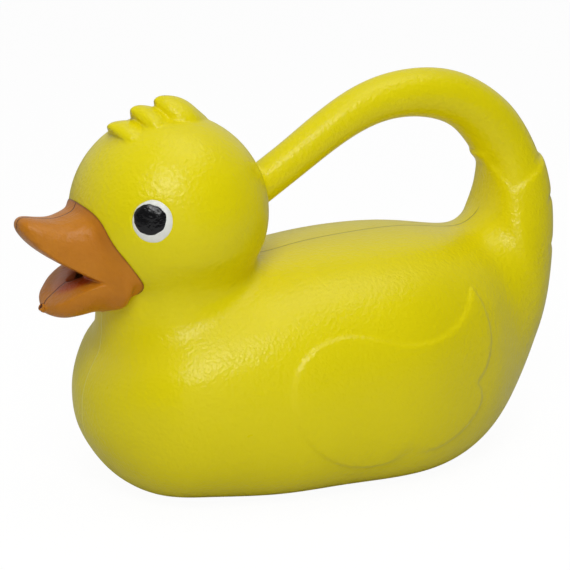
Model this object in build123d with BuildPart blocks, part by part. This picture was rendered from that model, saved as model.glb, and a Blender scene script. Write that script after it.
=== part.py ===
from build123d import *
from math import cos, radians, sin
import os

# Duck watering can. Millimetres, +Z up, the duck faces -X, the moulding seam is
# the plane y = 0 and the can stands on z = 0. Near side (-Y) is the duck's left.

# ------------------------------------------------------------- driving sizes
wall = 2.4                  # moulded wall of the shells and of the beak
half_width = 75.0           # widest half of the body
back_height = 119.0         # top of the back
breast_x = -120.6           # foremost point of the breast
head_x = -72.0              # centre of the round head
head_z = 141.5
head_radius = 49.8
grip_radius = 12.6          # hollow handle at the top of the loop
handle_end_radius = 10.1    # where the handle runs into the head
neck_radius = 37.8          # waist between head and body
neck_low = 40.0             # the neck is built up from here, inside the body
root_blend = 2.0            # rounding where the handle runs into the head
overlap = 1.0               # a half is built this far past the seam, then trimmed

wing_relief = 1.2           # how far the wing panel stands proud
feather_relief = 1.6        # how far the tail feathers stand proud

filler_radius = 10.0        # hole the can is filled through
filler_angle = 34.0         # its direction above the horizontal, facing the tail

mouth_level = 117.0         # height of the corner of the mouth
mouth_half = 25.0           # half width of the beak at that corner
beak_root_half = 33.0       # half width of the beak where it meets the cheek
beak_root = 25.8            # the bills are built from this far inside the head
beak_lip = 0.9              # the beak's border stands this proud of the head
pour_radius = 4.0           # hole in the throat
nub_radius = 2.2            # moulding nub on the tip of the lower bill

port_angle = 23.2           # beak port in the head, below the horizontal
port_radius = 15.0          # outside of the beak's spigot
port_clearance = 0.15       # radial gap between spigot and port
spigot_reach = 4.0          # how far the spigot runs past the head's inside wall

eye_direction = Vector(-0.545, -0.822, 0.164)
white_radius = 9.9
white_proud = 0.6           # stands out of the head
white_sunk = 0.8            # sits in the head
pupil_radius = 8.1
pupil_sunk = 0.7            # sits in the white
pupil_proud = 1.6           # top of the dome above the head
pupil_dome_radius = 30.0
pupil_lift = 0.6            # the pupil sits this much above the middle of the white
inlay_clearance = 0.1       # radial gap round each eye inlay

head_front = head_x - head_radius
head_top = head_z + head_radius


class Rib:
    """One station of a skin: a half section standing on the seam plane."""

    def __init__(self, low, high, half, fullness=0.66, widest=0.45, pull=0.0, crown=None):
        self.low = low              # outer point on the seam (x, z)
        self.high = high            # inner point on the seam (x, z)
        self.half = half            # half width
        self.fullness = fullness    # roundness below the widest level; 0.55 is an ellipse
        self.crown = crown or fullness      # roundness above it
        self.widest = widest        # where the width peaks, as a share of the height
        self.pull = pull            # how far an inset also moves the rib along X


def upright(x, low, high, half, **more):
    """A rib in the plane across the duck at x, from z = low to z = high."""
    return Rib((x, low), (x, high), half, **more)


def across(axis_point, before, after, radius):
    """A round rib square to the line from before to after: a slice of the handle."""
    along = (Vector(*after) - Vector(*before)).normalized()
    outward = Vector(along.Y, -along.X) * radius
    low = Vector(*axis_point) + outward
    high = Vector(*axis_point) - outward
    return Rib((low.X, low.Y), (high.X, high.Y), radius, fullness=0.5523, widest=0.5)


# body, from the breast back over the rump and up the tail
body_ribs = [
    upright(breast_x, 42, 48, 3.2, fullness=0.58, widest=0.5, pull=1.0),
    upright(breast_x + 1.1, 34, 56, 12.4, fullness=0.58, widest=0.52, pull=1.0),
    upright(breast_x + 5, 25, 66, 26, fullness=0.6, widest=0.55, pull=1.0),
    upright(breast_x + 14.5, 11, 81, 42.3, fullness=0.62, widest=0.55, pull=0.8),
    upright(-92, 1, back_height - 26.5, 0.76 * half_width, fullness=0.66, widest=0.52, pull=0.5),
    upright(-68, -3.5, back_height - 15.5, 0.885 * half_width, widest=0.47, pull=0.2),
    upright(-34, -5, back_height - 7, 0.97 * half_width, fullness=0.72, widest=0.41, crown=0.69),
    upright(0, -5, back_height - 1.9, half_width, fullness=0.75, widest=0.41, crown=0.7),
    upright(34, -5, back_height, half_width, fullness=0.79, widest=0.41, crown=0.71),
    Rib((66, -5), (64, back_height - 0.8), 0.89 * half_width, fullness=0.75, widest=0.43, crown=0.69),
    Rib((93, 0.5), (86, back_height - 4), 0.735 * half_width, fullness=0.65, widest=0.46),
    Rib((114, 13.5), (98.5, back_height - 3.2), 0.56 * half_width, fullness=0.6, widest=0.49),
    Rib((129.5, 37), (106.8, back_height + 3), 35, fullness=0.59, widest=0.5),
    Rib((141, 67), (110.2, back_height + 11.8), 30.6, fullness=0.6, widest=0.5),
    Rib((147, 98), (110.5, back_height + 20), 24.2, fullness=0.58, widest=0.5),
    Rib((146.7, 130), (109, back_height + 27), 19.8, fullness=0.56, widest=0.5),
]

# hollow handle: axis points (x, z) and radius, over the loop and into the head
tail_top = (130, 131)
handle_axis = [
    ((119.3, 158), 15.7),
    ((107.5, 172.3), 14.9),
    ((91.5, 183.2), 13.7),
    ((67, 188.6), grip_radius),
    ((42, 185.7), 11.5),
    ((19.3, 175.5), 10.6),
    ((-3.7, 161), handle_end_radius),
    ((-20.7, 150.5), handle_end_radius),
    ((-37.7, 139.5), handle_end_radius),
]
handle_points = [tail_top] + [point for point, radius in handle_axis] + [(-55, 129)]
handle_ribs = [
    across(point, handle_points[i], handle_points[i + 2], radius)
    for i, (point, radius) in enumerate(handle_axis)
]


def rib_section(rib, inset=0.0):
    """Half section of a rib on its own plane, reaching a little past the seam."""
    low = Vector(rib.low[0], 0, rib.low[1])
    high = Vector(rib.high[0], 0, rib.high[1])
    up = (high - low).normalized()
    side = Vector(0, -1, 0)
    origin = low + up * inset + Vector(inset * rib.pull, 0, 0)
    height = (high - low).length - 2 * inset
    half = rib.half - inset
    mid = height * rib.widest
    top = height - mid
    k = rib.fullness
    c = rib.crown
    with BuildSketch(Plane(origin=origin, x_dir=side, z_dir=side.cross(up))) as section:
        with BuildLine():
            Bezier((-overlap, 0), (k * half, 0), (half, mid - k * mid), (half, mid))
            Bezier((half, mid), (half, mid + c * top), (c * half, height), (-overlap, height))
            Line((-overlap, height), (-overlap, 0))
        make_face()
    return section.sketch.face()


def half_skin(ribs, inset=0.0):
    """Loft the ribs and keep the half on the left of the seam."""
    with BuildPart() as skin:
        loft(sections=[rib_section(rib, inset) for rib in ribs])
        split(bisect_by=Plane.XZ, keep=Keep.TOP)
    return skin.part


head_plane = Plane(origin=(head_x, 0, head_z), x_dir=(0, 0, -1), z_dir=(0, -1, 0))


neck_plane = Plane(origin=(head_x, 0, neck_low), x_dir=(0, -1, 0), z_dir=(0, 0, 1))


def duck_form(inset):
    """Left half of the duck's skin (body, tail, handle, head) moved in by inset."""
    ribs = body_ribs + handle_ribs
    if inset > 1:
        ribs = ribs[1:]     # the tip of the breast is smaller than the inset
    with BuildPart() as form:
        loft(sections=[rib_section(rib, inset) for rib in ribs])
        with Locations(head_plane):
            Sphere(head_radius - inset)
        with BuildSketch(neck_plane):
            Circle(neck_radius - inset)
        extrude(amount=head_z - neck_low)
        split(bisect_by=Plane.XZ, keep=Keep.TOP)
        split(bisect_by=Plane.XY.offset(max(inset, 0)), keep=Keep.TOP)
        if inset < 1:           # inside the can the crease stays sharp
            roots = [edge for edge in form.edges() if is_handle_root(edge, head_radius - inset)]
            fillet(roots, root_blend)
    return form.part


def is_handle_root(edge, radius):
    """The edge where the handle enters the ball of the head, behind and above its middle."""
    middle = edge.position_at(0.5) - head_plane.origin
    return abs(middle.length - radius) < 0.05 and middle.X > head_radius / 2 and middle.Z > -neck_radius / 2


# ------------------------------------------------------------ crest and relief
def tuft_rib(ahead, low, high, half):
    """A roof-like slice of a tuft, placed from the top of the head."""
    return upright(
        head_x - ahead, head_top + low, head_top + high, half, fullness=0.6, widest=0.12, crown=0.45
    )


# three swept tufts on the crown, front to back; each starts as a pointed lip
tufts = [
    [
        tuft_rib(31.7, -4.0, -2.8, 1),
        tuft_rib(29.7, -6.4, -1.8, 5.5),
        tuft_rib(27.2, -9.5, -1.4, 10.5),
        tuft_rib(24.2, -12.5, -1.3, 15),
        tuft_rib(20.2, -15, -1.4, 17),
        tuft_rib(13.7, -17, -2.4, 15.5),
    ],
    [
        tuft_rib(19.5, 2.6, 4.2, 1),
        tuft_rib(17.5, -0.5, 5.3, 5.5),
        tuft_rib(15, -4, 5.6, 10.5),
        tuft_rib(12, -7, 5.3, 14.5),
        tuft_rib(8.2, -10, 4.4, 16),
        tuft_rib(0.7, -13, 2.5, 14.5),
    ],
    [
        tuft_rib(6.7, 6, 7.8, 1.2),
        tuft_rib(4.7, 2.5, 9, 5),
        tuft_rib(2, -1, 9.3, 9),
        tuft_rib(-1.8, -4, 8.9, 12.5),
        tuft_rib(-6.8, -6, 7.5, 14),
        tuft_rib(-12.8, -8, 3.8, 12.5),
        tuft_rib(-18.3, -9, -1.2, 8),
        tuft_rib(-21.8, -10, -4.8, 3),
    ],
]

# outline of the wing seen from the side, (x, z)
wing_front = [(8, 17.3), (-20, 26), (-36.5, 47), (-34.5, 73), (-9, 85.7), (26, 78.4), (54, 81), (73, 97)]
wing_rear_feather = [(73, 97), (80, 80), (78.5, 62), (68, 50.6)]
wing_lower_feather = [(68, 50.6), (72.5, 43), (59, 26.5), (26.4, 27.4)]
wing_belly = [(26.4, 27.4), (18, 19.5), (8, 17.3)]

# feathers round the tail: a zigzag collar above, two notches behind; below they
# sink into the rump, so each rib from the rump to the handle has its own height
tail_feathers = [
    (92, 152), (104.5, 153.4), (117, 134.6), (144, 151.5), (160, 150),
    (160, 136.5), (133, 125.1), (160, 128.5),
    (160, 112), (133, 100.4), (160, 103),
    (160, 50), (90, 50),
]
feather_heights = [-1.5, -0.6, 0.6, 1.3, feather_relief, 0.7 * feather_relief, 0.7 * feather_relief]
feather_ribs = body_ribs[-5:] + handle_ribs[:2]


def inside(outline, *forms):
    """What of the forms lies inside a side-view outline."""
    with BuildPart() as kept:
        for form in forms:
            add(form)
        with BuildSketch(Plane.XZ.offset(-overlap)):
            add(outline)
        extrude(amount=2 * half_width, mode=Mode.INTERSECT)
    return kept.part


def tail_collar():
    """Left half of the tail's skin, raised rib by rib."""
    with BuildPart() as collar:
        loft(sections=[rib_section(r, -h) for r, h in zip(feather_ribs, feather_heights)])
        split(bisect_by=Plane.XZ, keep=Keep.TOP)
    return collar.part


with BuildSketch() as wing_outline:
    with BuildLine():
        Spline(*wing_front)
        Spline(*wing_rear_feather)
        Spline(*wing_lower_feather)
        Spline(*wing_belly)
    make_face()

with BuildSketch() as feather_outline:
    with BuildLine():
        Polyline(*tail_feathers, close=True)
    make_face()


# ------------------------------------------------------------------- the shell
def radial_plane(angle):
    """Plane on the head's centre looking out along a direction in the seam plane."""
    out = Vector(cos(radians(angle)), 0, sin(radians(angle)))
    return Plane(origin=(head_x, 0, head_z), x_dir=(0, 1, 0), z_dir=out)


filler_plane = radial_plane(filler_angle)
port_plane = radial_plane(180 + port_angle)
eye_plane = Plane(origin=(head_x, 0, head_z), z_dir=eye_direction)
pupil_plane = eye_plane.move(Location((0, 0, pupil_lift)))


def inlay(plane, radius, sunk):
    """Round plug aimed along the plane's axis with its floor sunk below the head."""
    with BuildPart() as plug:
        with BuildSketch(plane.offset(head_radius / 2)):
            Circle(radius)
        extrude(amount=head_radius)
        with Locations(head_plane):
            Sphere(head_radius - sunk, mode=Mode.SUBTRACT)
    return plug.part


skin = duck_form(0)

with BuildPart() as left_shell:
    add(skin)
    add(inside(wing_outline.sketch, duck_form(-wing_relief)))
    add(inside(feather_outline.sketch, tail_collar()))
    for tuft in tufts:
        add(half_skin(tuft))
    add(duck_form(wall), mode=Mode.SUBTRACT)
    with BuildSketch(filler_plane.offset(head_radius / 2)):
        Circle(filler_radius)
    extrude(amount=head_radius, mode=Mode.SUBTRACT)
    with BuildSketch(port_plane.offset(head_radius / 2)):
        Circle(port_radius + port_clearance)
    extrude(amount=head_radius, mode=Mode.SUBTRACT)
    add(inlay(eye_plane, white_radius + inlay_clearance, white_sunk), mode=Mode.SUBTRACT)

# -------------------------------------------------------------------- the beak
def bill_rib(reach, low, high, half, widest, crown):
    """A slice of a bill, placed from the front of the head and the corner of the mouth."""
    return upright(
        head_front - reach, mouth_level + low, mouth_level + high, half,
        fullness=0.6, widest=widest, crown=crown,
    )


upper_bill = [
    bill_rib(-beak_root, -5, 37, beak_root_half, 0.12, 0.86),
    bill_rib(-16.8, -5, 37, beak_root_half - 1, 0.12, 0.86),
    bill_rib(-10.8, -4, 36.8, beak_root_half - 3.5, 0.1, 0.86),
    bill_rib(-5.8, -2.5, 34.7, mouth_half, 0.07, 0.86),
    bill_rib(-1.8, -0.5, 32.5, mouth_half - 2.7, 0.06, 0.84),
    bill_rib(4.2, 2.8, 30, mouth_half - 5, 0.07, 0.82),
    bill_rib(10.2, 6.3, 28.6, mouth_half - 7, 0.08, 0.8),
    bill_rib(16.2, 10.1, 28.9, mouth_half - 9.2, 0.1, 0.78),
    bill_rib(22.2, 14.7, 30, mouth_half - 11.7, 0.15, 0.76),
    bill_rib(26.7, 19.3, 30.7, mouth_half - 14.8, 0.26, 0.7),
    bill_rib(29.4, 23, 29.8, mouth_half - 18.6, 0.38, 0.62),
    bill_rib(30.4, 25.3, 27.9, mouth_half - 22.2, 0.5, 0.6),
]
lower_bill = [
    bill_rib(-beak_root, -20, 3, beak_root_half - 2.8, 0.85, 0.7),
    bill_rib(-16.8, -20.5, 3, beak_root_half - 2, 0.85, 0.7),
    bill_rib(-10.8, -21, 2.5, beak_root_half - 4.6, 0.87, 0.7),
    bill_rib(-5.8, -19.9, 1, mouth_half - 0.4, 0.9, 0.7),
    bill_rib(-1.8, -20.4, -1, mouth_half - 1.8, 0.93, 0.7),
    bill_rib(4.2, -21.2, -3.6, mouth_half - 3.9, 0.93, 0.7),
    bill_rib(9.2, -21.4, -6.6, mouth_half - 6.8, 0.92, 0.7),
    bill_rib(13.7, -20.4, -10, mouth_half - 10.8, 0.88, 0.7),
    bill_rib(16.7, -19, -12.7, mouth_half - 16.6, 0.8, 0.7),
    bill_rib(18.2, -17.4, -14.4, mouth_half - 21.2, 0.6, 0.7),
]

# where the beak's border runs on the head, seen from the side, (x, z)
beak_border = [
    (head_front + 0.2, mouth_level + 35.8),
    (head_front + 2.7, mouth_level + 33.3),
    (head_front + 7.4, mouth_level + 21.7),
    (head_front + 13, mouth_level + 12),
    (head_front + 19.8, mouth_level + 1.9),
    (head_front + 22.2, mouth_level - 2.9),
    (head_front + 21.4, mouth_level - 8.1),
    (head_front + 16.8, mouth_level - 13.8),
    (head_front + 11, mouth_level - 18.6),
]
beak_front = head_front - 2 * beak_root     # well ahead of the bills

with BuildSketch() as beak_outline:
    with BuildLine():
        border = Spline(*beak_border)
        Polyline(
            border @ 1,
            (head_front + 9, mouth_level - 24),
            (beak_front, mouth_level - 24),
            (beak_front, mouth_level + 40),
            (head_front - 2, mouth_level + 40),
            border @ 0,
        )
    make_face()


def beak_form(inset):
    """Left half of the beak's skin moved in by inset; the mouth is the gap between the bills."""
    spare = 3 if inset > 0 else 0       # the tips are smaller than the inset
    with BuildPart() as form:
        add(half_skin(upper_bill[:len(upper_bill) - spare], inset))
        add(half_skin(lower_bill[:len(lower_bill) - spare], inset))
    return form.part


with BuildPart() as beak_hollow:
    add(beak_form(wall))
    add(duck_form(-wall), mode=Mode.SUBTRACT)

with BuildPart() as beak_left:
    add(inside(beak_outline.sketch, beak_form(0), duck_form(-beak_lip)))
    with Locations((lower_bill[-1].low[0] + 0.6, 0, mouth_level - 16.3)):
        Sphere(nub_radius, rotation=(90, 0, 0))
    add(skin, mode=Mode.SUBTRACT)
    with BuildSketch(port_plane.offset(head_radius - wall - spigot_reach)):
        Circle(port_radius)
    extrude(amount=wall + spigot_reach + wall / 2)
    add(beak_hollow.part, mode=Mode.SUBTRACT)
    with BuildSketch(port_plane.offset(head_radius / 2)):
        Circle(port_radius - wall)
    extrude(amount=head_radius / 2 + wall + 1, mode=Mode.SUBTRACT)
    with BuildSketch(Plane.YZ.offset(head_front - 5.2)):
        with Locations((0, mouth_level - 0.5)):
            Circle(pour_radius)
    extrude(amount=18, mode=Mode.SUBTRACT)
    split(bisect_by=Plane.XZ, keep=Keep.TOP)

# -------------------------------------------------------------------- the eyes
with BuildPart() as eye_white_left:
    add(inlay(eye_plane, white_radius, white_sunk))
    with Locations(head_plane):
        Sphere(head_radius + white_proud, mode=Mode.INTERSECT)
    add(inlay(pupil_plane, pupil_radius + inlay_clearance, white_sunk - pupil_sunk), mode=Mode.SUBTRACT)

with BuildPart() as pupil_left:
    add(inlay(pupil_plane, pupil_radius, white_sunk - pupil_sunk))
    with Locations(pupil_plane.offset(head_radius + pupil_proud - pupil_dome_radius)):
        Sphere(pupil_dome_radius, mode=Mode.INTERSECT)

# --------------------------------------------------------- the right-hand pieces
left_pieces = {
    "shell": left_shell.part,
    "beak": beak_left.part,
    "eye_white": eye_white_left.part,
    "pupil": pupil_left.part,
}
os.makedirs("parts", exist_ok=True)
for name, piece in left_pieces.items():
    twin = mirror(piece, about=Plane.XZ)
    piece.label = "left_" + name
    twin.label = "right_" + name
    export_step(piece, "parts/left_" + name + ".step")
    export_step(twin, "parts/right_" + name + ".step")
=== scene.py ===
import bpy
import bmesh
import math
import numpy as np
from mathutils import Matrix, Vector, noise


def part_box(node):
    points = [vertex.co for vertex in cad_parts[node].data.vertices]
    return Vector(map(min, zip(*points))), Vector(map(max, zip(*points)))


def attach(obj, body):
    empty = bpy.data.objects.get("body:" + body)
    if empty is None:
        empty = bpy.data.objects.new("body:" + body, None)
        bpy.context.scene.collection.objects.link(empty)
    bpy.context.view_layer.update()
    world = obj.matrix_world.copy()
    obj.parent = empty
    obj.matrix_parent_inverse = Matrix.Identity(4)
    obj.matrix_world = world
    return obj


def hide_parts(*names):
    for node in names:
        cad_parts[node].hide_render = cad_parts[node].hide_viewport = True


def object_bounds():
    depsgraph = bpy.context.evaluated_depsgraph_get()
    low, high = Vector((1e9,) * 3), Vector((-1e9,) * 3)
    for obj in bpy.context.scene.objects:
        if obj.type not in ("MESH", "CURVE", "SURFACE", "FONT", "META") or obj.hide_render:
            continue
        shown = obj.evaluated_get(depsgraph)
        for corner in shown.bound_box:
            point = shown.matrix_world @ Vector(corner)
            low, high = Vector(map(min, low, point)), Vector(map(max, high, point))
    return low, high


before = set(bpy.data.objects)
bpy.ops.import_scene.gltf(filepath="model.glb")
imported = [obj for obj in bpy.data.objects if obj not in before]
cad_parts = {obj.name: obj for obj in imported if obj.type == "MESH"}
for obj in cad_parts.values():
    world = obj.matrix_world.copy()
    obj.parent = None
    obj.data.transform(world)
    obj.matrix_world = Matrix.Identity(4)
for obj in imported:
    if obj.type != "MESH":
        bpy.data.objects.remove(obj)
cad_lo, cad_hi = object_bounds()


def way(degrees):
    """Direction in the seam plane, this far round from +X towards +Z."""
    return Vector((math.cos(math.radians(degrees)), 0, math.sin(math.radians(degrees))))


# ------------------------------------------- landmarks in metres, as in the CAD
white_lo, white_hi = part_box("left_eye_white")
HEAD = Vector((-0.072, 0.0, 0.1415))        # centre of the round head
HEAD_R = 0.0498
EYE_AIM = ((white_lo + white_hi) / 2 - HEAD).normalized()
# the mouth's corner and reach lay out its darker lining and the painted shade in it
MOUTH = Vector((-0.119, 0.0, 0.117))        # corner of the mouth, on the seam plane
MOUTH_REACH = (0.023, 0.0175, 0.0145)       # half sizes of the mouth's darker lining
NUB = Vector((-0.1394, 0.0, 0.1007))        # moulding nub on the lower bill
NUB_AIM = Vector((-0.8, -0.2, 0.56)).normalized()
PORT, PORT_R = way(203.2), 0.01515          # the beak's port in the head
FILLER, FILLER_R = way(34), 0.01            # the filler hole in the back of the head
BORE_SLACK = 0.0008                         # a hole's wall lies within this of its radius
BORE_DEEP = (0.0462, 0.0502)                # and between these from the head's centre

# where the smoothing of the shell starts and stops
CREST_Z = 0.176                             # the crest stands above this
RELIEF_Z, RELIEF_X = 0.178, -0.05           # wing and tail relief lie below and behind this
TAIL_X = 0.09                               # and the tail's behind this
FEATHER_X, FEATHER_Z = 0.0264, 0.0274       # tip of the lower feather
FEATHER_R = 0.016                           # reach of its softening
NECK_Z = (0.07, 0.128)                      # lowest and highest of the neck's hollow
NECK_R = (0.026, 0.072)                     # its inner and outer edge round the head's axis
BREAST_X, CHIN_Z = -0.09, 0.093             # in front of and above these, it stays crisp

# and of the beak; BORDER and the two SWEEPs are heights off the head
BEAK_X = -0.08                              # only what lies in front of this
BORDER = 0.0003                             # the edge on the head stays as it is up to here
SWEEP, CHIN_SWEEP = 0.008, 0.02             # the soft foot of both bills and of the chin ends
CHIN_TOP, CHIN_Y = 0.111, 0.008             # the chin lies below and outside these

# the seam's lines: solid up to the first distance, gone at the second
SHELL_LINE, BEAK_LINE = (0.0002, 0.0007), (0.0002, 0.0006)
BREAST_SEAM_X, BREAST_SEAM_Z = (-0.09, -0.085), (0.095, 0.1)    # it fades out over these
BACK_SEAM_X, BACK_SEAM_Z = (-0.045, -0.035), (0.119, 0.125)     # and in along X, out up Z

SHELL_VOXEL = 0.0007
BEAK_VOXEL = 0.0003
SHELL_KEEP = 0.62                           # share of its faces kept; only inner ones go
SHRINK, SWELL = 0.5, -0.53                  # Taubin's forward and backward steps
LEAST_PULL = 1e-4
WELD = 2e-6
ON_SEAM = 1e-6

RING_SPOKES, RING_SECTION = 40, 16
RING_R, RING_WIRE = 0.00135, 0.00065
# the cup's lift places the painted shade inside the nub's ring
RING_LIFT, CUP_LIFT = 0.0016, 0.0022
DAUB_RINGS, DAUB_SPOKES = 14, 96
DAUB_SUNK = 0.0004                          # a daub's rim lies this deep in the head

WHITE = (1, 1, 1, 1)
FLOOR_GREY = (0.62, 0.62, 0.62, 1)
FLOOR_HALF = 4.0
FLOOR_GLOW, FLOOR_SHARE = 1.06, 0.9         # its glow, and the glow's share for the camera
CAMERA_AIM = Vector((0, 0, 0.1))


# ------------------------------------------------------------------ mesh tools
def cad_mesh(name):
    """The CAD node's mesh as a bmesh, with its split vertices welded."""
    bm = bmesh.new()
    bm.from_mesh(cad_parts[name].data)
    bmesh.ops.remove_doubles(bm, verts=bm.verts, dist=WELD)
    return bm


def whole(name):
    """Left CAD node and its mirror twin as one bmesh."""
    bm = cad_mesh(name)
    twin = bmesh.ops.duplicate(bm, geom=bm.verts[:] + bm.edges[:] + bm.faces[:])["geom"]
    for v in (g for g in twin if isinstance(g, bmesh.types.BMVert)):
        v.co.y = -v.co.y
    bmesh.ops.reverse_faces(bm, faces=[g for g in twin if isinstance(g, bmesh.types.BMFace)])
    return bm


def as_object(bm, name):
    """The bmesh as an object of the scene; the bmesh is used up."""
    mesh = bpy.data.meshes.new(name)
    bm.to_mesh(mesh)
    bm.free()
    obj = bpy.data.objects.new(name, mesh)
    bpy.context.scene.collection.objects.link(obj)
    return obj


def evaluated(obj):
    """The object's mesh with its modifiers applied; the object goes."""
    graph = bpy.context.evaluated_depsgraph_get()
    mesh = bpy.data.meshes.new_from_object(obj.evaluated_get(graph))
    bpy.data.objects.remove(obj)
    return mesh


def remeshed(bm, voxel):
    """Even quads over the same form, without the faces where the halves meet."""
    obj = as_object(bm, "work")
    mod = obj.modifiers.new("remesh", "REMESH")
    mod.mode = "VOXEL"
    mod.voxel_size = voxel
    mod.adaptivity = 0
    return evaluated(obj)


def thinned(mesh, picked, ratio):
    """Collapse the picked vertices until ratio of all the faces is left."""
    obj = bpy.data.objects.new("work", mesh)
    bpy.context.scene.collection.objects.link(obj)
    group = obj.vertex_groups.new(name="thin")
    group.add(np.flatnonzero(picked).tolist(), 1.0, "REPLACE")
    mod = obj.modifiers.new("thin", "DECIMATE")
    mod.ratio = ratio
    mod.vertex_group = "thin"
    return evaluated(obj)


def points_of(mesh):
    co = np.empty(len(mesh.vertices) * 3)
    mesh.vertices.foreach_get("co", co)
    return co.reshape(-1, 3)


def edges_of(mesh):
    ends = np.empty(len(mesh.edges) * 2, dtype=np.int64)
    mesh.edges.foreach_get("vertices", ends)
    return ends.reshape(-1, 2)


def put_back(co, mesh):
    mesh.vertices.foreach_set("co", co.ravel())
    mesh.update()


def relax(co, ends, rounds, weight, keep_volume=False):
    """Laplacian smoothing of the weighted vertices, with Taubin's backward step if asked."""
    busy = weight[ends].max(axis=1) > LEAST_PULL
    used, local = np.unique(ends[busy], return_inverse=True)
    a, b = local.reshape(-1, 2).T
    part, pull, n = co[used], weight[used], len(used)
    degree = np.bincount(a, minlength=n) + np.bincount(b, minlength=n)

    def step(factor):
        for k in range(3):
            near = np.bincount(a, part[b, k], n) + np.bincount(b, part[a, k], n)
            part[:, k] += factor * pull * (near / degree - part[:, k])

    for _ in range(rounds):
        step(SHRINK)
        if keep_volume:
            step(SWELL)
    co[used] = part


def smooth(t):
    t = np.clip(t, 0, 1)
    return t * t * (3 - 2 * t)


def rise(values, start, width):
    """0 up to start, then smoothly to 1 over width."""
    return smooth((values - start) / width)


def fall(values, end, width):
    """1, then smoothly to 0 over the width before end."""
    return smooth((end - values) / width)


def flood(count, ends, barrier, seed):
    """Vertices reached from seed along edges without entering the barrier."""
    order = np.argsort(np.concatenate([ends[:, 0], ends[:, 1]]), kind="stable")
    heads = np.concatenate([ends[:, 0], ends[:, 1]])[order]
    tails = np.concatenate([ends[:, 1], ends[:, 0]])[order]
    start = np.searchsorted(heads, np.arange(count + 1))
    reached = barrier.copy()
    front = np.array([seed])
    reached[front] = True
    while len(front):
        spans = [tails[start[v]:start[v + 1]] for v in front]
        front = np.unique(np.concatenate(spans))
        front = front[~reached[front]]
        reached[front] = True
    return reached & ~barrier


def near_bore(co, aim, radius):
    """Vertices on the wall of a round hole that leaves the head's centre along aim."""
    off = co - np.array(HEAD)
    along = off @ np.array(aim)
    aside = np.linalg.norm(off - along[:, None] * np.array(aim), axis=1)
    deep = np.linalg.norm(off, axis=1)
    in_wall = (deep > BORE_DEEP[0]) & (deep < BORE_DEEP[1])
    return (along > 0) & (abs(aside - radius) < BORE_SLACK) & in_wall


def to_right(bm):
    """Mirror a left piece to the right side."""
    for v in bm.verts:
        v.co.y = -v.co.y


def half_piece(mesh, name, side, node, material):
    """One side of a whole form, capped on the seam, standing for its CAD node."""
    bm = bmesh.new()
    bm.from_mesh(mesh)
    geom = bm.verts[:] + bm.edges[:] + bm.faces[:]
    bmesh.ops.bisect_plane(
        bm, geom=geom, dist=ON_SEAM, plane_co=(0, 0, 0), plane_no=(0, 1, 0), clear_outer=True
    )
    rim = [e for e in bm.edges if e.is_boundary]
    for e in rim:
        e.smooth = False
    bmesh.ops.triangle_fill(bm, edges=rim, use_beauty=True)
    for f in bm.faces:
        f.smooth = True
    if side > 0:
        to_right(bm)
        bmesh.ops.reverse_faces(bm, faces=bm.faces)
    obj = as_object(bm, name)
    obj.data.materials.append(material)
    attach(obj, "root")
    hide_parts(node)


# ------------------------------------------------------------------- materials
class Nodes:
    """Short way of writing a node tree. Textures are laid in Object coordinates."""

    def __init__(self, name):
        self.mat = bpy.data.materials.new(name)
        self.mat.use_nodes = True
        self.tree = self.mat.node_tree
        self.bsdf = self.tree.nodes["Principled BSDF"]
        self.place = self.add("ShaderNodeTexCoord").outputs["Object"]

    def add(self, kind, **props):
        node = self.tree.nodes.new(kind)
        for key, value in props.items():
            setattr(node, key, value)
        return node

    def link(self, source, target):
        """A constant is set on the socket itself; anything else is linked."""
        if isinstance(source, (int, float, tuple)):
            target.default_value = source
        else:
            self.tree.links.new(source, target)

    def finish(self, tone, rough, normal, specular=None):
        self.link(tone, self.bsdf.inputs["Base Color"])
        self.link(rough, self.bsdf.inputs["Roughness"])
        self.link(normal, self.bsdf.inputs["Normal"])
        if specular is not None:
            self.bsdf.inputs["Specular IOR Level"].default_value = specular
        return self.mat

    def math(self, operation, a, b=0.0, c=0.0):
        node = self.add("ShaderNodeMath", operation=operation)
        for value, socket in zip((a, b, c), node.inputs):
            self.link(value, socket)
        return node.outputs[0]

    def ramp(self, value, low, high, out_low=0.0, out_high=1.0):
        node = self.add("ShaderNodeMapRange", interpolation_type="SMOOTHSTEP")
        for v, socket in zip((value, low, high, out_low, out_high), node.inputs):
            self.link(v, socket)
        return node.outputs[0]

    def noise(self, size, detail=2.0, roughness=0.5, seed=0.0):
        """Noise whose blotches are about size metres across."""
        node = self.add("ShaderNodeTexNoise", noise_dimensions="4D")
        self.link(self.place, node.inputs["Vector"])
        node.inputs["W"].default_value = seed
        node.inputs["Scale"].default_value = 1 / size
        node.inputs["Detail"].default_value = detail
        node.inputs["Roughness"].default_value = roughness
        return node.outputs["Fac"]

    def uneven(self, least, span, size, detail, seed):
        """Roughness from least to least + span, in blotches of this size."""
        return self.math("MULTIPLY_ADD", self.noise(size, detail, seed=seed), span, least)

    def mix(self, factor, a, b):
        node = self.add("ShaderNodeMix", data_type="RGBA")
        self.link(factor, node.inputs["Factor"])
        self.link(a, node.inputs[6])        # the colour sockets A
        self.link(b, node.inputs[7])        # and B
        return node.outputs[2]              # and the colour result

    def bump(self, height, depth, previous=None):
        node = self.add("ShaderNodeBump")
        node.inputs["Distance"].default_value = depth
        self.link(height, node.inputs["Height"])
        if previous:
            self.link(previous, node.inputs["Normal"])
        return node.outputs[0]

    def axes(self):
        node = self.add("ShaderNodeSeparateXYZ")
        self.link(self.place, node.inputs[0])
        return node.outputs

    def distance(self, centre):
        node = self.add("ShaderNodeVectorMath", operation="DISTANCE")
        self.link(self.place, node.inputs[0])
        node.inputs[1].default_value = centre
        return node.outputs["Value"]


def srgb(r, g, b):
    """Linear colour for 8-bit screen values."""
    out = []
    for v in (r, g, b):
        v /= 255
        out.append(v / 12.92 if v <= 0.04045 else ((v + 0.055) / 1.055) ** 2.4)
    return (*out, 1.0)


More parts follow.
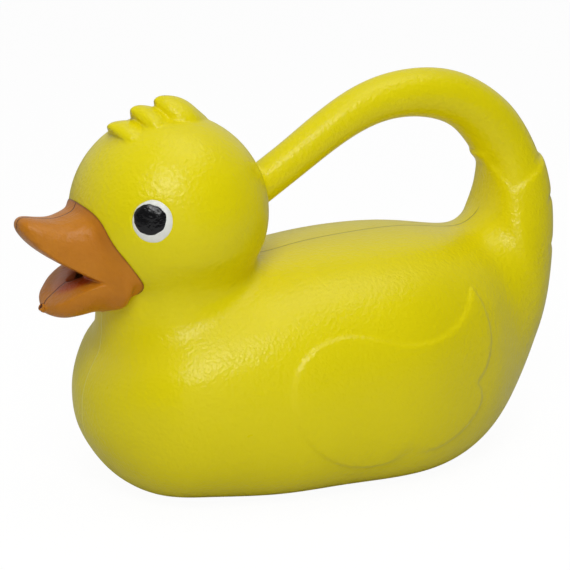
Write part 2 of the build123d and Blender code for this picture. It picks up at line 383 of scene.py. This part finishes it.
YELLOW, YELLOW_LIT = srgb(230, 215, 0), srgb(237, 222, 0)
# painted shade for the back seam's groove, painted highlight for the breast seam's bead
GROOVE_SHADE, BEAD_HIGHLIGHT = srgb(140, 128, 6), srgb(250, 242, 110)
ORANGE, ORANGE_DEEP = srgb(206, 134, 32), srgb(188, 112, 24)
# the mouth's lining: darker pigment, with painted shade on the near half and a painted lit far
# half; painted shade deepens into the mouth's corner
LINING_NEAR_SHADED, LINING_FAR_LIT = srgb(178, 78, 18), srgb(206, 138, 96)
MOUTH_CORNER_SHADE, SEAM_DARK = srgb(150, 60, 10), srgb(84, 32, 10)
# painted shade for the hollow of the nub's cup
BORDER_DARK, CUP_SHADE = srgb(96, 44, 22), srgb(70, 28, 8)
PAINT_WHITE, PAINT_DULL = srgb(244, 244, 238), srgb(222, 224, 212)
PAINT_BLACK, PAINT_WORN = srgb(3, 3, 5), srgb(9, 9, 12)


def yellow_plastic():
    """Glossy plastic with an orange-peel surface and the moulding seam, its groove darkened by
    painted shade and its bead lightened by a painted highlight.
    """
    n = Nodes("yellow_plastic")
    x, y, z = n.axes()
    tone = n.mix(n.noise(0.045, 3, seed=1.0), YELLOW, YELLOW_LIT)
    # the moulding seam: a fine groove along the back, a fine bead down the breast; besides their
    # bump, the groove gets painted shade and the bead a painted highlight
    line = n.ramp(n.math("ABSOLUTE", y), *SHELL_LINE, 1, 0)
    front = n.math("MULTIPLY", n.ramp(x, *BREAST_SEAM_X, 1, 0), n.ramp(z, *BREAST_SEAM_Z, 1, 0))
    back = n.math("MULTIPLY", n.ramp(x, *BACK_SEAM_X, 0, 1), n.ramp(z, *BACK_SEAM_Z, 1, 0))
    groove = n.math("MULTIPLY", line, back)
    bead = n.math("MULTIPLY", line, front)
    # painted shade in the groove, painted highlight on the bead
    tone = n.mix(n.math("MULTIPLY", groove, 0.6), tone, GROOVE_SHADE)
    tone = n.mix(n.math("MULTIPLY", bead, 0.8), tone, BEAD_HIGHLIGHT)
    waves = n.bump(n.noise(0.016, 2, seed=3.0), 0.0003)
    peel = n.bump(n.noise(0.0020, 2, seed=2.0), 0.00045, waves)
    normal = n.bump(n.math("SUBTRACT", bead, groove), 0.0003, peel)
    rough = n.uneven(least=0.25, span=0.1, size=0.009, detail=3, seed=4.0)
    return n.finish(tone, rough, normal, specular=0.33)


def orange_plastic():
    """The beak's plastic, darker in the mouth with a lining that carries painted shade, with its
    seam, painted border and painted shade in the nub's cup.
    """
    n = Nodes("orange_plastic")
    y = n.axes()["Y"]
    tone = n.mix(n.noise(0.011, 4, 0.6, seed=5.0), ORANGE, ORANGE_DEEP)
    # the inside of the mouth: a darker lining, with painted shade on its near half, a lit far
    # half, and painted shade deepening towards the mouth's corner
    reach = n.add("ShaderNodeMapping", vector_type="TEXTURE")
    reach.inputs["Location"].default_value = MOUTH
    reach.inputs["Scale"].default_value = MOUTH_REACH
    n.link(n.place, reach.inputs["Vector"])
    length = n.add("ShaderNodeVectorMath", operation="LENGTH")
    n.link(reach.outputs[0], length.inputs[0])
    depth = length.outputs["Value"]
    lining_and_shade = n.mix(n.ramp(y, -0.004, 0.006, 0, 1), LINING_NEAR_SHADED, LINING_FAR_LIT)
    tone = n.mix(n.ramp(depth, 0.7, 1.02, 1, 0), tone, lining_and_shade)
    # painted shade deepening into the mouth's corner
    tone = n.mix(n.ramp(depth, 0.1, 0.6, 1, 0), tone, MOUTH_CORNER_SHADE)
    # dark lines along the seam and where the beak meets the head, and painted shade in the nub's
    # cup
    seam = n.ramp(n.math("ABSOLUTE", y), *BEAK_LINE, 1, 0)
    edge = n.ramp(n.distance(HEAD), HEAD_R + 0.0002, HEAD_R + 0.0008, 1, 0)
    cup_shade = n.ramp(n.distance(NUB + NUB_AIM * CUP_LIFT), 0.0008, 0.0012, 0.9, 0)
    tone = n.mix(n.math("MULTIPLY", seam, 0.85), tone, SEAM_DARK)
    tone = n.mix(n.math("MULTIPLY", edge, 0.85), tone, BORDER_DARK)
    # painted shade in the nub's cup
    tone = n.mix(cup_shade, tone, CUP_SHADE)
    waves = n.bump(n.noise(0.012, 2, seed=7.0), 0.0008)
    peel = n.bump(n.noise(0.002, 3, 0.6, seed=8.0), 0.0005, waves)
    normal = n.bump(seam, -0.0003, peel)
    rough = n.uneven(least=0.24, span=0.14, size=0.006, detail=3, seed=6.0)
    return n.finish(tone, rough, normal, specular=0.26)


def eye_white():
    """Brushed white paint."""
    n = Nodes("eye_white")
    tone = n.mix(n.noise(0.004, 3, seed=9.0), PAINT_WHITE, PAINT_DULL)
    brushed = n.bump(n.noise(0.0035, 3, seed=11.0), 0.0007)
    rough = n.uneven(least=0.32, span=0.15, size=0.003, detail=2, seed=10.0)
    return n.finish(tone, rough, brushed)


def pupil_black():
    """Brushed black paint, glossier than the white."""
    n = Nodes("pupil_black")
    tone = n.mix(n.noise(0.004, 2, seed=12.0), PAINT_BLACK, PAINT_WORN)
    brushed = n.bump(n.noise(0.0045, 3, seed=14.0), 0.0014)
    rough = n.uneven(least=0.16, span=0.1, size=0.003, detail=2, seed=13.0)
    return n.finish(tone, rough, brushed, specular=0.5)


yellow = yellow_plastic()
orange = orange_plastic()
white = eye_white()
black = pupil_black()


# ------------------------------------------------------------------- the shell
def smooth_shell(co, ends, outer):
    """Soften the remeshed shell: the crest least, the neck's hollow most."""
    x, y, z = co.T      # views, so they follow each relax
    everywhere = np.ones(len(co))
    crest = rise(z, CREST_Z, 0.004) * (x < -0.03)
    relax(co, ends, 2, everywhere, keep_volume=True)
    relax(co, ends, 3, 1 - crest, keep_volume=True)
    relax(co, ends, 2, 1 - crest)
    # wing and tail relief are softer than the crest, the tip of the lower feather softest
    relief = fall(z, RELIEF_Z, 0.01) * rise(x, RELIEF_X, 0.01)
    relax(co, ends, 10, relief)
    relax(co, ends, 12, rise(x, TAIL_X, 0.008) * relief)
    from_tip = np.hypot(x - FEATHER_X, z - FEATHER_Z)
    relax(co, ends, 80, fall(from_tip, FEATHER_R, 0.01) * outer)
    # the head runs into the body in a soft hollow, all round but under the beak
    away = np.hypot(x - HEAD.x, y)
    hollow = rise(z, NECK_Z[0], 0.016) * fall(z, NECK_Z[1], 0.014)
    hollow *= fall(away, NECK_R[1], 0.018) * rise(away, NECK_R[0], 0.006) * outer
    hollow *= 1 - 0.9 * fall(x, BREAST_X, 0.008) * rise(z, CHIN_Z, 0.006)
    relax(co, ends, 800, hollow)


shell = remeshed(whole("left_shell"), SHELL_VOXEL)
co = points_of(shell)
ends = edges_of(shell)
walls = near_bore(co, PORT, PORT_R) | near_bore(co, FILLER, FILLER_R)
tail_end = int(co[:, 0].argmax())
outer = flood(len(co), ends, walls, tail_end)
smooth_shell(co, ends, outer)
put_back(co, shell)
shell = thinned(shell, ~outer & ~walls, SHELL_KEEP)
half_piece(shell, "left_shell_moulding", -1, "left_shell", yellow)
half_piece(shell, "right_shell_moulding", 1, "right_shell", yellow)


# -------------------------------------------------------------------- the beak
def smooth_beak(co, ends):
    """Soften the remeshed beak; its bills run out to the border in one soft sweep."""
    x, y, z = co.T
    everywhere = np.ones(len(co))
    relax(co, ends, 6, everywhere, keep_volume=True)
    relax(co, ends, 4, everywhere)
    height = np.linalg.norm(co - np.array(HEAD), axis=1) - HEAD_R
    proud = rise(height, BORDER, 0.0006)
    sweep = proud * fall(height, SWEEP, 0.004)
    relax(co, ends, 220, sweep * (x < BEAK_X))
    chin = proud * fall(height, CHIN_SWEEP, 0.008)
    chin *= fall(z, CHIN_TOP, 0.006) * rise(abs(y), CHIN_Y, 0.006)
    relax(co, ends, 400, chin * (x < BEAK_X))


beak = remeshed(whole("left_beak"), BEAK_VOXEL)
co = points_of(beak)
smooth_beak(co, edges_of(beak))
put_back(co, beak)
half_piece(beak, "left_beak_moulding", -1, "left_beak", orange)
half_piece(beak, "right_beak_moulding", 1, "right_beak", orange)


def ring(name, centre, aim, major, minor):
    """A small rounded ring of the beak's plastic, its axis along aim."""
    turn = aim.to_track_quat("Z", "Y")
    bm = bmesh.new()
    grid = []
    for i in range(RING_SPOKES):
        a = 2 * math.pi * i / RING_SPOKES
        grid.append([])
        for j in range(RING_SECTION):
            b = 2 * math.pi * j / RING_SECTION
            r = major + minor * math.cos(b)
            spot = Vector((r * math.cos(a), r * math.sin(a), minor * math.sin(b)))
            grid[-1].append(bm.verts.new(centre + turn @ spot))
    for i in range(RING_SPOKES):
        for j in range(RING_SECTION):
            k, m = (i + 1) % RING_SPOKES, (j + 1) % RING_SECTION
            bm.faces.new((grid[i][j], grid[k][j], grid[k][m], grid[i][m]))
    bmesh.ops.recalc_face_normals(bm, faces=bm.faces)
    for f in bm.faces:
        f.smooth = True
    obj = as_object(bm, name)
    obj.data.materials.append(orange)
    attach(obj, "root")


# the moulding nub at the tip of the lower bill is a little cup
ring("nub_ring", NUB + NUB_AIM * RING_LIFT, NUB_AIM, RING_R, RING_WIRE)


# -------------------------------------------------------------------- the eyes
def turned(aim, up_by, ahead_by):
    """aim shifted over the head by these lengths, up and towards the beak."""
    up = (Vector((0, 0, 1)) - aim * aim.z).normalized()
    ahead = up.cross(aim)
    if ahead.x > 0:
        ahead = -ahead
    return (aim + up * (up_by / HEAD_R) + ahead * (ahead_by / HEAD_R)).normalized()


def brush_edge(c, s, wobble, seed):
    """How far a daub reaches along the spoke with this cosine and sine, about 1."""
    spoke = Vector((c, s, seed))
    return 1 + wobble * (noise.noise(spoke * 1.4) + 0.7 * noise.noise(spoke * 3.3))


def daub(name, node, material, aim, width, height, lift, dome, wobble, seed, side):
    """A blob of thick paint on the head: uneven edge, rounded shoulder, low dome.

    width and height are half sizes; lift is the shoulder's rise and dome the crown's above it.
    """
    across = Vector((0, 0, 1)).cross(aim).normalized()
    up = aim.cross(across)
    bm = bmesh.new()
    rows = []
    for i in range(DAUB_RINGS + 1):
        t = i / DAUB_RINGS
        row = []
        for j in range(DAUB_SPOKES):
            angle = 2 * math.pi * j / DAUB_SPOKES
            c, s = math.cos(angle), math.sin(angle)
            edge = brush_edge(c, s, wobble, seed)
            r = edge * math.sin(t * math.pi / 2)
            proud = lift * max(0.0, 1 - (r / edge) ** 6) ** 0.5 + dome * (1 - (r / edge) ** 2)
            flat = across * (c * r * width) + up * (s * r * height)
            foot = (aim * math.sqrt(HEAD_R**2 - flat.length_squared) + flat).normalized()
            row.append(bm.verts.new(HEAD + foot * (HEAD_R - DAUB_SUNK + proud)))
            if i == 0:
                break       # the crown is one vertex
        rows.append(row)
    for j in range(DAUB_SPOKES):
        k = (j + 1) % DAUB_SPOKES
        bm.faces.new((rows[0][0], rows[1][j], rows[1][k]))
        for i in range(1, DAUB_RINGS):
            bm.faces.new((rows[i][j], rows[i + 1][j], rows[i + 1][k], rows[i][k]))
    if side > 0:
        to_right(bm)
    bmesh.ops.recalc_face_normals(bm, faces=bm.faces)
    for f in bm.faces:
        f.smooth = True
    obj = as_object(bm, name)
    mod = obj.modifiers.new("fine", "SUBSURF")
    mod.levels = mod.render_levels = 1
    obj.data.materials.append(material)
    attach(obj, "root")
    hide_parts(node)


for side, word in ((-1, "left"), (1, "right")):
    daub(word + "_eye_white_paint", word + "_eye_white", white,
         turned(EYE_AIM, -0.0003, -0.0003), width=0.0099, height=0.0103,
         lift=0.0010, dome=0.0, wobble=0.03, seed=2.0, side=side)
    daub(word + "_pupil_paint", word + "_pupil", black,
         turned(EYE_AIM, 0.0006, 0.0007), width=0.0083, height=0.0079,
         lift=0.0014, dome=0.0007, wobble=0.07, seed=5.0, side=side)


# ----------------------------------------------------------- floor and backdrop
def camera_mix(tree, share, lit, seen):
    """The shader lit, where the camera's own rays take this share of seen instead."""
    path = tree.nodes.new("ShaderNodeLightPath")
    factor = tree.nodes.new("ShaderNodeMath")
    factor.operation = "MULTIPLY"
    factor.inputs[1].default_value = share
    mixed = tree.nodes.new("ShaderNodeMixShader")
    tree.links.new(path.outputs["Is Camera Ray"], factor.inputs[0])
    tree.links.new(factor.outputs[0], mixed.inputs[0])
    tree.links.new(lit.outputs[0], mixed.inputs[1])
    tree.links.new(seen.outputs[0], mixed.inputs[2])
    return mixed.outputs[0]


def white_floor():
    """A matt floor that glows for the camera and keeps a faint shadow of the object."""
    bm = bmesh.new()
    bmesh.ops.create_grid(bm, x_segments=1, y_segments=1, size=FLOOR_HALF)
    floor = as_object(bm, "floor")
    mat = bpy.data.materials.new("floor")
    mat.use_nodes = True
    tree = mat.node_tree
    matt = tree.nodes["Principled BSDF"]
    matt.inputs["Base Color"].default_value = FLOOR_GREY
    matt.inputs["Roughness"].default_value = 0.9
    glow = tree.nodes.new("ShaderNodeEmission")
    glow.inputs["Color"].default_value = WHITE
    glow.inputs["Strength"].default_value = FLOOR_GLOW
    surface = camera_mix(tree, FLOOR_SHARE, lit=matt, seen=glow)
    tree.links.new(surface, tree.nodes["Material Output"].inputs["Surface"])
    floor.data.materials.append(mat)


def studio_world():
    """White for the camera; for the object, a bright wall behind and a dim room in front."""
    world = bpy.data.worlds.new("studio")
    bpy.context.scene.world = world
    world.use_nodes = True
    tree = world.node_tree
    room = tree.nodes["Background"]
    room.inputs["Color"].default_value = WHITE
    place = tree.nodes.new("ShaderNodeTexCoord")
    axes = tree.nodes.new("ShaderNodeSeparateXYZ")
    level = tree.nodes.new("ShaderNodeMapRange")
    level.interpolation_type = "SMOOTHSTEP"
    # strength over the direction's Y: 0.1 in front to 0.6 behind
    for name, value in (("From Min", -0.35), ("From Max", 0.75), ("To Min", 0.1), ("To Max", 0.6)):
        level.inputs[name].default_value = value
    tree.links.new(place.outputs["Generated"], axes.inputs[0])
    tree.links.new(axes.outputs["Y"], level.inputs[0])
    tree.links.new(level.outputs[0], room.inputs["Strength"])
    backdrop = tree.nodes.new("ShaderNodeBackground")
    backdrop.inputs["Color"].default_value = WHITE
    backdrop.inputs["Strength"].default_value = 1.0
    surface = camera_mix(tree, 1.0, lit=room, seen=backdrop)
    tree.links.new(surface, tree.nodes["World Output"].inputs["Surface"])


white_floor()
studio_world()


# -------------------------------------------------------- lights and the camera
def hang(name, data, target, azimuth, elevation, distance):
    """Put a lamp or camera at this bearing from the target, facing it.

    Azimuth is in degrees, 0 in front (-Y) and 90 towards +X.
    """
    a, e = math.radians(azimuth), math.radians(elevation)
    back = Vector((math.sin(a) * math.cos(e), -math.cos(a) * math.cos(e), math.sin(e)))
    obj = bpy.data.objects.new(name, data)
    obj.location = target + back * distance
    obj.rotation_mode = "QUATERNION"
    obj.rotation_quaternion = (-back).to_track_quat("-Z", "Y")
    bpy.context.scene.collection.objects.link(obj)
    return obj


def softbox(name, azimuth, elevation, distance, size, power, shine=True):
    """Square area light on the object's middle; without shine it makes no reflection."""
    light = bpy.data.lights.new(name, "AREA")
    light.shape = "SQUARE"
    light.size = size
    light.energy = power
    lamp = hang(name, light, (cad_lo + cad_hi) / 2, azimuth, elevation, distance)
    lamp.visible_glossy = shine


softbox("key", azimuth=-29, elevation=47, distance=1.3, size=0.54, power=6.8)
softbox("top", azimuth=60, elevation=78, distance=1.2, size=0.8, power=3.6)
softbox("fill", azimuth=-20, elevation=2, distance=1.5, size=1.2, power=7.0, shine=False)

camera = bpy.data.cameras.new("camera")
camera.lens = 160.1
camera.sensor_width = 36
camera.shift_x = -0.0228
camera.shift_y = -0.0193
bpy.context.scene.camera = hang(
    "camera", camera, CAMERA_AIM, azimuth=-27, elevation=16, distance=1.3
)

bpy.context.scene.view_settings.view_transform = "Standard"
